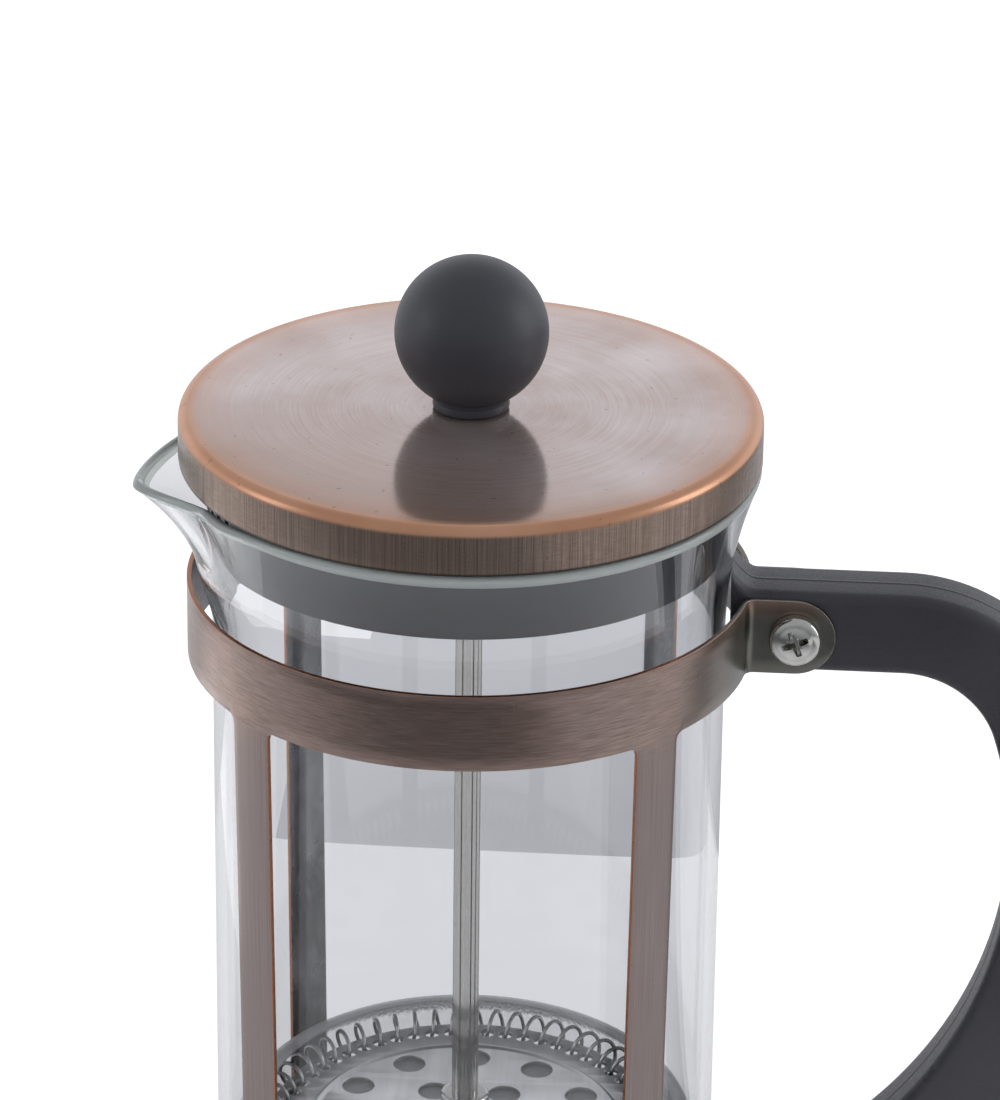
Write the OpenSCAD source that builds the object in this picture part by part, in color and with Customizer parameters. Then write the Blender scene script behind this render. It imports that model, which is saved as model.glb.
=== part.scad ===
// French press: a glass beaker that stands in a strip-metal cage with a moulded
// handle, closed by a plated lid with a plunger and a sprung mesh filter.
// Millimetres, +Z up. The origin is on the table plane under the beaker's axis.
// The handle points along +X.

/* [Beaker] */
// Outer diameter of the glass body
beaker_d = 90; // [88:0.5:91]
// Wall thickness of the glass
glass_t = 2; // [1.8:0.1:2.2]
// Thickness of the glass floor
glass_floor_t = 2.6; // [2.2:0.1:3]
// Height of the glass bottom above the table
beaker_z = 5.9; // [5.9:0.1:6.2]
// Diameter over the flared rim
rim_d = 101.8; // [101.4:0.2:102]
// Height of the stretch over which the wall flares out to the rim
flare_h = 30.9; // [28:0.1:32]
// Distance of the spout's tip from the beaker's axis
spout_reach = 59; // [57:0.5:60]
// Angle that the beaker is turned in the cage, away from straight opposite the handle
spout_turn = 15; // [0:1:20]

/* [Lid] */
// Height of the lid's top face above the table
lid_top = 170; // [170:0.5:171]
// Outer diameter of the metal lid cap
lid_d = 101.2; // [100.8:0.2:101.6]
// Height of the lid cap from its top face to the edge of its skirt
lid_h = 8.8; // [8.6:0.1:8.8]
// Sheet thickness of the lid cap
lid_t = 0.8; // [0.6:0.1:0.8]
// Outer radius of the rounded edge between the cap's top and skirt
lid_edge_r = 1.9; // [1.4:0.1:2.4]
// Depth of the plastic insert below the lid's top face
insert_depth = 22.7; // [21:0.1:23]
// Wall thickness of the insert
insert_t = 1.6; // [1.4:0.1:1.8]

/* [Knob] */
// Diameter of the ball knob
knob_d = 26.6; // [24:0.2:28]
// Diameter of the knob's short neck
neck_d = 13.3; // [12:0.1:14]
// Height of the ball's centre above the lid's top face
knob_h = 14; // [13.4:0.1:14.4]

/* [Plunger] */
// Diameter of the plunger rod
rod_d = 4.8; // [4.6:0.1:5]
// Height of the spiral plate's underside when the plunger is pushed down
plate_z = 26.4; // [26:0.1:30]
// Diameter of the spiral plate
plate_d = 73.2; // [72:0.2:74]
// Number of turns of the spring, and of holes in the plate that it runs through
spring_turns = 60; // [40:1:64]
// Diameter over the rolled edge of the mesh screen
mesh_d = 85; // [84:0.1:85.2]

/* [Cage] */
// Outer diameter of the upper band
band_d = 98.8; // [98.4:0.2:99.2]
// Height of the upper band
band_h = 13.9; // [13.5:0.1:14]
// Height of the upper band's lower edge above the table
band_z = 124.6; // [124:0.1:125]
// Outer diameter of the lower band
foot_band_d = 95.5; // [95.3:0.1:95.7]
// Height of the lower band
foot_band_h = 12; // [11.5:0.1:12]
// Height of the lower band's lower edge above the table
foot_band_z = 4.4; // [4.4:0.1:4.6]
// Thickness of the metal strip
strip_t = 0.8; // [0.7:0.05:0.9]
// Width of each of the four legs
leg_w = 9; // [8:0.2:10]

/* [Handle] */
// Width of the handle between the ears of the cage
handle_w = 12.4; // [12:0.1:12.6]
// Thickness of the handle in the plane of its loop
handle_t = 15.4; // [14:0.1:15.6]
// Height of the upper arm's middle above the table
arm_z = 132; // [131.6:0.1:132.2]
// Distance from the beaker's axis at which the upper arm starts to bend down
bend_x = 76; // [74:0.5:77]
// Radius of that bend, along the middle of the handle
bend_r = 25; // [24:0.5:27]
// Radius of the long bow of the grip, along the middle of the handle
bow_r = 86.5; // [86:0.5:87]

/* [Fixings] */
// Distance of both clamp screws from the beaker's axis
screw_x = 57.3; // [57:0.1:57.6]
// Diameter of the clamp screws
screw_d = 4.8; // [4.4:0.1:5]
// Diameter of the clamp screws' pan heads
head_d = 9.1; // [8.6:0.1:9.6]
// Width across the flats of the clamp nuts
nut_w = 8; // [7.6:0.1:8.4]

/* [Hidden] */

$fn = 96;
eps = 0.01;
far = 200;

beaker_r = beaker_d / 2;
rim_r = rim_d / 2;
lid_r = lid_d / 2;
rod_r = rod_d / 2;
screw_r = screw_d / 2;
hole_r = screw_r + 0.2;
handle_y = handle_w / 2;

// Beaker: the rim stands just under the lid's skirt
rest_gap = 0.3;
rim_z = lid_top - lid_h - rest_gap;
flare_z = rim_z - flare_h;
heel_r = 7;
floor_z = beaker_z + glass_floor_t;
flare_steps = 14;

// Cage: the legs lean in from the upper band to the lower one
band_r = band_d / 2;
foot_r = foot_band_d / 2;
leg_z = foot_band_z + foot_band_h;
leg_h = band_z - leg_z;
leg_corner_r = 1.6;
leg_lap = 1;
leg_inset = 0.05;
ear_corner = 1.2;
upper_screw_z = band_z + band_h / 2;
lower_screw_z = foot_band_z + foot_band_h / 2;

// Handle: middle line of a straight arm, a bend, a long bow and a short lower arm
bend_z = arm_z - bend_r;
bow_a = 18;
bow_x = bend_x - (bow_r - bend_r) * cos(bow_a);
bow_z = bend_z - (bow_r - bend_r) * sin(bow_a);
tail_a = 60;
tail_r = 20;
tail_x = bow_x + (bow_r - tail_r) * cos(tail_a);
tail_z = bow_z - (bow_r - tail_r) * sin(tail_a);
root_gap = 0.4;
upper_root_x = beaker_r + root_gap + 0.4;
lower_root_x = foot_r - strip_t + root_gap;
horn_top_z = arm_z + handle_t / 2 + 3.8;

// Filter pack, counted up and down from the spiral plate
plate_t = 0.8;
spring_r = 3.05;
wire_r = 0.4;
mesh_t = 0.4;
mesh_bow_r = 5.9;
mesh_sag = spring_r + wire_r + 0.2 + mesh_t;
mesh_end_a = 95;
spring_ring_r = mesh_d / 2 - mesh_bow_r;
spring_z = plate_z + plate_t / 2;
mesh_z = plate_z - mesh_t;
cross_t = 1;
cross_z = mesh_z - cross_t;
cross_r = 30;
nut_h = 6;
collar_h = 7;
rod_bottom = cross_z - nut_h + 1;
rod_top = lid_top + 12;

// Points on an arc in a plane, from angle a0 to angle a1
function arc(x, y, r, a0, a1, n) =
    [for (i = [0:n]) let (a = a0 + (a1 - a0) * i / n) [x + r * cos(a), y + r * sin(a)]];

// Outer radius of the glass wall at height z
flare_r = (pow(flare_h, 2) + pow(rim_r - beaker_r, 2)) / (2 * (rim_r - beaker_r));
function glass_r(z) = z < flare_z ? beaker_r
    : beaker_r + flare_r - sqrt(pow(flare_r, 2) - pow(z - flare_z, 2));

module tube(r_out, r_in, h) {
    difference() {
        cylinder(r = r_out, h = h);
        translate([0, 0, -1]) cylinder(r = r_in, h = h + 2);
    }
}

// ---------------------------------------------------------------- beaker

module beaker_outside() {
    rotate_extrude() polygon(concat(
        [[0, beaker_z]],
        arc(beaker_r - heel_r, beaker_z + heel_r, heel_r, -90, 0, 8),
        [for (i = [0:flare_steps]) let (z = flare_z + (flare_h - 1) * i / flare_steps) [glass_r(z), z]],
        [[rim_r - 0.5, rim_z - 0.3], [rim_r - 1, rim_z], [0, rim_z]]));
}

module beaker_inside() {
    inner_heel = heel_r - glass_t;
    rotate_extrude() polygon(concat(
        [[0, floor_z]],
        arc(beaker_r - glass_t - inner_heel, floor_z + inner_heel, inner_heel, -90, 0, 8),
        [for (i = [0:flare_steps]) let (z = flare_z + (flare_h - 1) * i / flare_steps)
            [glass_r(z) - glass_t, z]],
        [[rim_r - glass_t + 0.1, rim_z - 0.3], [rim_r - 1.2, rim_z + eps], [rim_r - 1.2, rim_z + 20],
         [0, rim_z + 20]]));
}

// A cone that leans out over the rim; its lower side is the spout's underside. Its end
// stands past the spout's tip and above the rim.
spout_lean = 40;
spout_open = 12;
spout_end_r = 9;
spout_len = 30;
spout_past = 0.2;
spout_rise = 6.4;
module spout_cone(inset) {
    end_x = spout_reach + spout_past;
    end_z = rim_z + spout_rise;
    r1 = spout_end_r - spout_len * tan(spout_open);
    translate([end_x, 0, end_z]) rotate([0, spout_lean, 0]) translate([0, 0, -spout_len])
        cylinder(r1 = r1 - inset, r2 = spout_end_r - inset, h = spout_len);
}

module beaker() {
    spout_top_slope = 12;
    color("lightcyan", 0.4) rotate([0, 0, 180 + spout_turn]) difference() {
        union() {
            beaker_outside();
            intersection() {
                spout_cone(0);
                translate([rim_r - 3, 0, rim_z - 0.4]) rotate([0, spout_top_slope, 0])
                    translate([-20, -20, -40]) cube([60, 40, 40]);
            }
        }
        beaker_inside();
        spout_cone(glass_t);
    }
}

// ---------------------------------------------------------------- cage

// Where the outer face of an ear meets the outside of a band of radius r
function ear_root_x(r) = sqrt(pow(r, 2) - pow(handle_y + strip_t, 2));

// Plan of a band, open where its two ends turn out to stand beside the handle, with
// a small slope in each corner
module band_plan(r) {
    x = ear_root_x(r);
    y = handle_y + strip_t;
    difference() {
        circle(r = r);
        circle(r = r - strip_t);
        translate([0, -handle_y]) square([far, 2 * handle_y]);
    }
    for (side = [0, 1]) mirror([0, side]) polygon([
        [x - strip_t / 2, y - strip_t / 2], [x + ear_corner, y - strip_t / 2], [x + ear_corner, y],
        [x - strip_t / 4, y + ear_corner], [x - strip_t / 2, y + ear_corner]]);
}

// The two ears of a band: flat tongues with round ends
module ears(r, z, h) {
    x = ear_root_x(r) - strip_t;
    for (side = [0, 1]) mirror([0, side, 0])
        translate([0, handle_y + strip_t, 0]) rotate([90, 0, 0]) linear_extrude(strip_t) {
            translate([x, z]) square([screw_x - x, h]);
            translate([screw_x, z + h / 2]) circle(r = h / 2);
        }
}

module band(r, z, h) {
    translate([0, 0, z]) linear_extrude(h) band_plan(r);
    ears(r, z, h);
}

// Outline of a leg, with a small round corner where it runs into each band. Its ends
// reach a little into the bands.
module leg_outline() {
    foot_w = leg_w / 2 + leg_corner_r;
    translate([-leg_w / 2, leg_z - leg_lap]) square([leg_w, leg_h + 2 * leg_lap]);
    for (end = [0, 1]) translate([0, end ? band_z : leg_z]) mirror([0, end]) difference() {
        translate([-foot_w, -leg_lap]) square([2 * foot_w, leg_lap + leg_corner_r]);
        for (side = [-1, 1]) translate([side * foot_w, leg_corner_r])
            circle(r = leg_corner_r, $fn = 32);
    }
}

// The legs are a hair thinner than the bands that they run into
module leg(a) {
    lean = (band_r - foot_r) / leg_h;
    r_low = foot_r - leg_inset - lean * leg_lap;
    r_high = band_r - leg_inset + lean * leg_lap;
    t = strip_t - 2 * leg_inset;
    intersection() {
        translate([0, 0, leg_z - leg_lap]) difference() {
            cylinder(r1 = r_low, r2 = r_high, h = leg_h + 2 * leg_lap);
            cylinder(r1 = r_low - t, r2 = r_high - t, h = leg_h + 2 * leg_lap);
        }
        rotate([90, 0, a + 90]) linear_extrude(band_r + 5) leg_outline();
    }
}

module cage() {
    color("peru") difference() {
        union() {
            band(band_r, band_z, band_h);
            band(foot_r, foot_band_z, foot_band_h);
            for (a = [45:90:315]) leg(a);
        }
        for (z = [upper_screw_z, lower_screw_z])
            translate([screw_x, 0, z]) rotate([90, 0, 0]) cylinder(r = hole_r, h = 40, center = true);
    }
}

// ---------------------------------------------------------------- base

dish_z = 2;
dish_t = 0.8;
dish_lip_z = 10;
module base_dish() {
    r = foot_r - strip_t;
    color("peru") rotate_extrude() polygon([
        [0, dish_z], [r - 2.6, dish_z], [r - 0.8, dish_z + 0.7], [r, dish_z + 2.4], [r, dish_lip_z],
        [r - dish_t, dish_lip_z], [r - dish_t, dish_z + 2.8], [r - 1.5, dish_z + 1.5],
        [r - 2.9, dish_z + dish_t], [0, dish_z + dish_t]]);
}

module seat_ring() {
    seat_top = beaker_z - rest_gap;
    color("dimgray") translate([0, 0, dish_z + dish_t])
        tube(beaker_r - heel_r - 1, beaker_r - heel_r - 9, seat_top - dish_z - dish_t);
}

pad_r = 37;
module foot_pad() {
    color("black") rotate_extrude() polygon([
        [0, 0], [pad_r - 0.6, 0], [pad_r, 0.6], [pad_r, dish_z], [0, dish_z]]);
}

// ---------------------------------------------------------------- handle

// Outline of the handle's loop: outer side down, then inner side back up
module handle_outline() {
    h = handle_t / 2;
    polygon(concat(
        [[upper_root_x, arm_z + h - 2.6], [upper_root_x + 0.7, horn_top_z],
         [upper_root_x + 1.3, horn_top_z - 0.2], [upper_root_x + 2.7, arm_z + h + 1.2],
         [upper_root_x + 4.4, arm_z + h]],
        arc(bend_x, bend_z, bend_r + h, 90, bow_a, 12),
        arc(bow_x, bow_z, bow_r + h, bow_a - 3, -tail_a, 26),
        arc(tail_x, tail_z, tail_r + h, -tail_a - 6, -90, 5),
        [[lower_root_x, tail_z - tail_r - h], [lower_root_x, tail_z - tail_r + h]],
        arc(tail_x, tail_z, tail_r - h, -90, -tail_a - 6, 5),
        arc(bow_x, bow_z, bow_r - h, -tail_a, bow_a - 3, 26),
        arc(bend_x, bend_z, bend_r - h, bow_a, 90, 12),
        [[upper_root_x, arm_z - h]]));
}

module handle() {
    color("#2b2b2e") difference() {
        translate([0, handle_y, 0]) rotate([90, 0, 0]) linear_extrude(handle_w) handle_outline();
        for (z = [upper_screw_z, lower_screw_z])
            translate([screw_x, 0, z]) rotate([90, 0, 0]) cylinder(r = hole_r, h = 40, center = true);
    }
}

// ---------------------------------------------------------------- fixings

// Pan-head screw with a cross recess, its head at -Y against the ear
module clamp_screw(z) {
    head_r = head_d / 2;
    head_h = 3;
    grip = handle_w + 2 * strip_t;
    color("silver") translate([screw_x, -grip / 2, z]) rotate([-90, 0, 0]) difference() {
        union() {
            rotate_extrude() polygon(concat(
                [[0, 0], [head_r, 0], [head_r, -0.7]],
                arc(head_r - 2.3, -0.7, 2.3, 0, -90, 8),
                [[0, -head_h]]));
            cylinder(r = screw_r, h = grip + 4.6);
        }
        for (a = [0, 90]) rotate([0, 0, a + 20])
            translate([-2.4, -0.55, -head_h - 1]) cube([4.8, 1.1, 2.4]);
    }
}

module clamp_nut(z) {
    nut_t = 4;
    color("silver") translate([screw_x, handle_w / 2 + strip_t, z]) rotate([-90, 0, 0]) difference() {
        cylinder(d = nut_w / cos(30), h = nut_t, $fn = 6);
        translate([0, 0, -1]) cylinder(r = screw_r, h = nut_t + 2);
    }
}

module upper_screw() { clamp_screw(upper_screw_z); }
module upper_nut() { clamp_nut(upper_screw_z); }
module lower_screw() { clamp_screw(lower_screw_z); }
module lower_nut() { clamp_nut(lower_screw_z); }

// ---------------------------------------------------------------- lid

// Section of the cap's outside or inside: flat top, round edge, straight skirt
module cap_section(r, top, edge) {
    intersection() {
        union() {
            translate([0, lid_top - lid_h - 5]) square([r, lid_h + 5 - edge + top]);
            translate([0, lid_top - lid_h - 5]) square([r - edge, lid_h + 5 + top]);
            translate([r - edge, lid_top + top - edge]) circle(r = edge, $fn = 64);
        }
        translate([0, lid_top - lid_h - 5]) square([r, lid_h + 5 + top]);
    }
}

boss_r = 6.5;
cap_hole_r = 3.2;
module lid_cap() {
    color("peru") rotate_extrude() difference() {
        cap_section(lid_r, 0, lid_edge_r);
        cap_section(lid_r - lid_t, -lid_t, lid_edge_r - lid_t);
        square([cap_hole_r, far]);
        square([far, lid_top - lid_h]);
    }
}

// Plastic insert: a flange under the cap, a tapered skirt in the beaker's mouth and
// a central boss that guides the rod
flange_z = lid_top - lid_t - 2;
insert_z = lid_top - insert_depth;
boss_z = lid_top - 15;
slot_count = 9;
slot_pitch = 4.5;
slot_w = 1.6;
slot_h = 9;
slot_rise = 3;
rib_t = 1.4;
rib_h = 4;
rod_fit = 0.05;
module lid_insert() {
    r_low = beaker_r - 0.7;
    r_high = r_low + 3;
    r_flange = lid_r - lid_t;
    shoulder_z = rim_z - 2.4;
    corner = 0.9;
    color("#4b4a50") difference() {
        union() {
            rotate_extrude() polygon([
                [rod_r + rod_fit, flange_z], [boss_r, flange_z], [r_high - insert_t, flange_z],
                [r_high - insert_t, shoulder_z], [r_low - insert_t, insert_z], [r_low, insert_z],
                [r_high, shoulder_z], [r_high, flange_z], [r_flange, flange_z],
                [r_flange, lid_top - lid_t - corner], [r_flange - corner, lid_top - lid_t],
                [rod_r + rod_fit, lid_top - lid_t]]);
            translate([0, 0, boss_z]) tube(boss_r, rod_r + rod_fit, flange_z - boss_z + eps);
            for (a = [0:60:300]) rotate([0, 0, a + 30])
                translate([boss_r - 0.5, -rib_t / 2, flange_z - rib_h])
                    cube([r_high - insert_t - boss_r + 0.8, rib_t, rib_h + eps]);
        }
        for (i = [0:slot_count - 1])
            rotate([0, 0, 180 + spout_turn + (i - (slot_count - 1) / 2) * slot_pitch])
                translate([r_low - 6, -slot_w / 2, insert_z + slot_rise]) cube([14, slot_w, slot_h]);
    }
}

// ---------------------------------------------------------------- knob and rod

insert_r = 4;
knob_foot_z = lid_top + rest_gap;
module knob() {
    color("#26272a") difference() {
        union() {
            translate([0, 0, lid_top + knob_h]) sphere(d = knob_d);
            translate([0, 0, knob_foot_z]) cylinder(d = neck_d, h = 4);
        }
        cylinder(r = insert_r, h = rod_top + 1);
        cylinder(r = far, h = knob_foot_z);
    }
}

module knob_insert() {
    color("gold") translate([0, 0, knob_foot_z + 0.5])
        tube(insert_r, rod_r, rod_top + 1 - knob_foot_z - 0.5);
}

module plunger_rod() {
    tip = 0.6;
    color("silver") rotate_extrude() polygon([
        [0, rod_bottom], [rod_r - tip, rod_bottom], [rod_r, rod_bottom + tip],
        [rod_r, rod_top - tip], [rod_r - tip, rod_top], [0, rod_top]]);
}

module rod_collar() {
    color("silver") translate([0, 0, plate_z + plate_t]) tube(4.5, rod_r, collar_h);
}

// ---------------------------------------------------------------- filter

plate_hole_r = 1.05;
plate_hole_ring = plate_d / 2 - 3.1;
module spiral_plate() {
    color("lightgray") translate([0, 0, plate_z]) difference() {
        cylinder(d = plate_d, h = plate_t);
        translate([0, 0, -1]) cylinder(r = rod_r, h = plate_t + 2);
        for (i = [0:spring_turns - 1]) rotate([0, 0, (i + 0.5) * 360 / spring_turns])
            translate([plate_hole_ring, 0, -1]) cylinder(r = plate_hole_r, h = plate_t + 2, $fn = 16);
        for (a = [0:30:330]) rotate([0, 0, a])
            translate([24, 0, -1]) cylinder(r = 3, h = plate_t + 2, $fn = 32);
        for (a = [0:60:300]) rotate([0, 0, a])
            translate([13, 0, -1]) cylinder(r = 3, h = plate_t + 2, $fn = 32);
    }
}

// Envelope of the coil that runs round the plate's edge, open where the plate enters it
envelope_t = 0.3;
module filter_spring() {
    color("silver") rotate_extrude() difference() {
        translate([spring_ring_r, spring_z]) difference() {
            circle(r = spring_r + wire_r, $fn = 64);
            circle(r = spring_r + wire_r - envelope_t, $fn = 64);
        }
        translate([0, plate_z - 0.1]) square([spring_ring_r, plate_t + 0.2]);
    }
}

// Points of the mesh's rolled edge at a distance d inside its outer face: a shallow
// trough under the spring, then a round wall that leans back over it. Angle 180 is on
// the side of the rod, 270 is the bottom of the trough.
function mesh_edge(d, a0, n) = [for (i = [0:n])
    let (a = a0 + (360 + mesh_end_a - a0) * i / n, sag = a < 360 ? mesh_sag : mesh_bow_r)
    [spring_ring_r + (mesh_bow_r - d) * cos(a), spring_z + (sag - d) * sin(a)]];

// Mesh screen: flat under the plate, then rolled under and up round the spring
module mesh_screen() {
    outer_a = 180 + asin((spring_z - mesh_z) / mesh_sag);
    inner_a = 180 + asin((spring_z - mesh_z - mesh_t) / (mesh_sag - mesh_t));
    outer = mesh_edge(0, outer_a, 20);
    inner = mesh_edge(mesh_t, inner_a, 20);
    color("darkgray") rotate_extrude() polygon(concat(
        [[rod_r, mesh_z]], outer, [for (i = [20:-1:0]) inner[i]], [[rod_r, mesh_z + mesh_t]]));
}

module cross_plate() {
    spoke_w = 7;
    hub_r = 9;
    ring_w = 5;
    spoke_l = cross_r - ring_w - hub_r + 2;
    color("lightgray") translate([0, 0, cross_z]) difference() {
        union() {
            tube(cross_r, cross_r - ring_w, cross_t);
            cylinder(r = hub_r, h = cross_t);
            for (a = [0:60:300]) rotate([0, 0, a])
                translate([hub_r - 1, -spoke_w / 2, 0]) cube([spoke_l, spoke_w, cross_t]);
        }
        translate([0, 0, -1]) cylinder(r = rod_r, h = cross_t + 2);
    }
}

module cross_plate_nut() {
    color("silver") translate([0, 0, cross_z - nut_h]) tube(5, rod_r, nut_h);
}

beaker();
cage();
base_dish();
seat_ring();
foot_pad();
handle();
upper_screw();
upper_nut();
lower_screw();
lower_nut();
lid_cap();
lid_insert();
knob();
knob_insert();
plunger_rod();
rod_collar();
spiral_plate();
filter_spring();
mesh_screen();
cross_plate();
cross_plate_nut();
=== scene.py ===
"""A french press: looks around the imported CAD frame. Metres, +Z up, handle along +X."""
import math

import bmesh
import bpy
import numpy as np
from mathutils import Matrix, Vector


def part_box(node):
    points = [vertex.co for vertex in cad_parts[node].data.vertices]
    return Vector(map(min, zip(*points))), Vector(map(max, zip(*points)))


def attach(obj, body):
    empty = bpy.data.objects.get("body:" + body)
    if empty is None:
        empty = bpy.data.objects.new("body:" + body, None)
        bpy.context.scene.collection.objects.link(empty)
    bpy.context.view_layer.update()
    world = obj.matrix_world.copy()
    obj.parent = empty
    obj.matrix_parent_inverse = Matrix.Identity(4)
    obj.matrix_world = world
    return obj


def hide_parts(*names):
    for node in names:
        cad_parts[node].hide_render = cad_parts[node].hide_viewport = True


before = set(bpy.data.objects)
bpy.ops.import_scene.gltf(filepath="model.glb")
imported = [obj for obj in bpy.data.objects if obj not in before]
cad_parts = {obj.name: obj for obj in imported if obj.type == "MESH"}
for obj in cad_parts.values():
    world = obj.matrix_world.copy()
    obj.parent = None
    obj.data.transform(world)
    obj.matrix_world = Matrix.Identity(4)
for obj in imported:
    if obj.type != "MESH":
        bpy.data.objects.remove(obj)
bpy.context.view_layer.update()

MM = 0.001
TAU = 2 * math.pi


# -------- sizes from the frame

def top(node):
    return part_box(node)[1].z


def bottom(node):
    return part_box(node)[0].z


def radius(node):
    """Half of a round node's extent along Y."""
    low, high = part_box(node)
    return (high.y - low.y) / 2


LID_R = radius("lid_cap")
LID_TOP = top("lid_cap")
LID_SKIRT_Z = bottom("lid_cap")
LID_T = 0.8 * MM
GLASS_R = 45 * MM
GLASS_T = 2.0 * MM
GLASS_FLOOR_T = 2.6 * MM
GLASS_TOP = top("beaker")
GLASS_BOTTOM = bottom("beaker")
RIM_R = 50.9 * MM
SPOUT_REACH = 59 * MM
SPOUT_ANGLE = math.radians(195)
BAND_R = radius("cage")
BAND_TOP = top("cage")
BAND_H = 13.9 * MM
FOOT_R = 47.75 * MM
FOOT_BAND_Z = bottom("cage")
FOOT_BAND_H = 12 * MM
STRIP_T = 0.8 * MM
LEG_W = 9 * MM
HANDLE_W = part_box("handle")[1].y * 2
SCREW_X = (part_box("upper_screw")[0].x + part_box("upper_screw")[1].x) / 2
ROD_R = radius("plunger_rod")


# -------- mesh helpers

def add_object(name, data):
    obj = bpy.data.objects.new(name, data)
    bpy.context.scene.collection.objects.link(obj)
    return obj


def new_mesh(name, verts, faces, body, material, face_slots=None, more=()):
    """A mesh object that rides on a body. more holds extra materials, face_slots their indices."""
    mesh = bpy.data.meshes.new(name)
    mesh.from_pydata([tuple(v) for v in verts], [], [tuple(f) for f in faces])
    mesh.validate()
    for each in (material, *more):
        mesh.materials.append(each)
    if face_slots is not None:
        mesh.polygons.foreach_set("material_index", np.array(face_slots, np.int32))
    mesh.shade_smooth()
    mesh.update()
    obj = add_object(name, mesh)
    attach(obj, body)
    return obj


def evaluated_mesh(obj):
    depsgraph = bpy.context.evaluated_depsgraph_get()
    return bpy.data.meshes.new_from_object(obj.evaluated_get(depsgraph))


def apply_modifiers(obj):
    mesh = evaluated_mesh(obj)
    old = obj.data
    obj.modifiers.clear()
    obj.data = mesh
    bpy.data.meshes.remove(old)


def bevel(obj, width, angle, material=-1):
    """Rounds every edge sharper than the angle. material is the slot of the new faces."""
    mod = obj.modifiers.new("bevel", "BEVEL")
    mod.width = width
    mod.segments = 2
    mod.limit_method = "ANGLE"
    mod.angle_limit = math.radians(angle)
    mod.material = material
    apply_modifiers(obj)


def sharpen(obj, angle):
    """Keeps edges above the angle sharp in smooth shading."""
    obj.data.set_sharp_from_angle(angle=math.radians(angle))


def spoke(angle):
    """Cosine and sine of an angle in degrees."""
    return math.cos(math.radians(angle)), math.sin(math.radians(angle))


def arc(cx, cy, r, a0, a1, n):
    """Points on an arc, angles in degrees."""
    spokes = [spoke(a0 + (a1 - a0) * i / n) for i in range(n + 1)]
    return [(cx + r * c, cy + r * s) for c, s in spokes]


def rounded(points, radii, n=6):
    """A closed outline with each corner rounded to its own radius."""
    out = []
    count = len(points)
    for i, (p, r) in enumerate(zip(points, radii)):
        if r <= 0:
            out.append(tuple(p))
            continue
        a = Vector(points[i - 1]) - Vector(p)
        b = Vector(points[(i + 1) % count]) - Vector(p)
        half = a.angle(b) / 2
        cut = min(r / math.tan(half), a.length * 0.49, b.length * 0.49)
        r = cut * math.tan(half)
        a.normalize()
        b.normalize()
        centre = Vector(p) + (a + b).normalized() * (r / math.sin(half))
        start = Vector(p) + a * cut - centre
        turn = (Vector(p) + b * cut - centre).angle_signed(start)
        for k in range(n + 1):
            v = start.copy()
            v.rotate(Matrix.Rotation(turn * k / n, 2))
            out.append(tuple(centre + v))
    return out


def ring_faces(rows, columns, close_rows=False, start=0):
    """Quads over rings of points stored row by row."""
    faces = []
    for i in range(rows if close_rows else rows - 1):
        for j in range(columns):
            near = start + i * columns
            far = start + ((i + 1) % rows) * columns
            k = (j + 1) % columns
            faces.append((near + j, near + k, far + k, far + j))
    return faces


def revolve(name, outline, body, material, steps=192, closed=True, sharp=35, warp=None):
    """Turns an outline of (radius, height) points round the Z axis. A closed outline
    makes a ring; an open one starts and ends on the axis."""
    n = len(outline)
    angle = np.arange(steps) * TAU / steps
    r = np.array([p[0] for p in outline])
    z = np.array([p[1] for p in outline])
    grid = np.stack([r[:, None] * np.cos(angle), r[:, None] * np.sin(angle),
                     np.repeat(z[:, None], steps, 1)], -1)
    if warp:
        grid = warp(grid, angle)
    if closed:
        verts = grid.reshape(-1, 3)
        faces = ring_faces(n, steps, close_rows=True)
    else:
        verts = np.concatenate([[grid[0].mean(0)], grid[1:-1].reshape(-1, 3), [grid[-1].mean(0)]])
        faces = ring_faces(n - 2, steps, start=1)
        last = len(verts) - 1
        low = last - steps
        for j in range(steps):
            k = (j + 1) % steps
            faces.append((0, 1 + k, 1 + j))
            faces.append((last, low + j, low + k))
    obj = new_mesh(name, verts, faces, body, material)
    outward(obj.data)
    sharpen(obj, sharp)
    return obj


def outward(mesh, merge=0.0):
    """Makes every face of a closed mesh look outwards, and joins points closer than merge."""
    bm = bmesh.new()
    bm.from_mesh(mesh)
    if merge:
        bmesh.ops.remove_doubles(bm, verts=bm.verts, dist=merge)
    bmesh.ops.recalc_face_normals(bm, faces=bm.faces)
    bm.to_mesh(mesh)
    bm.free()


# -------- node helpers

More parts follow.
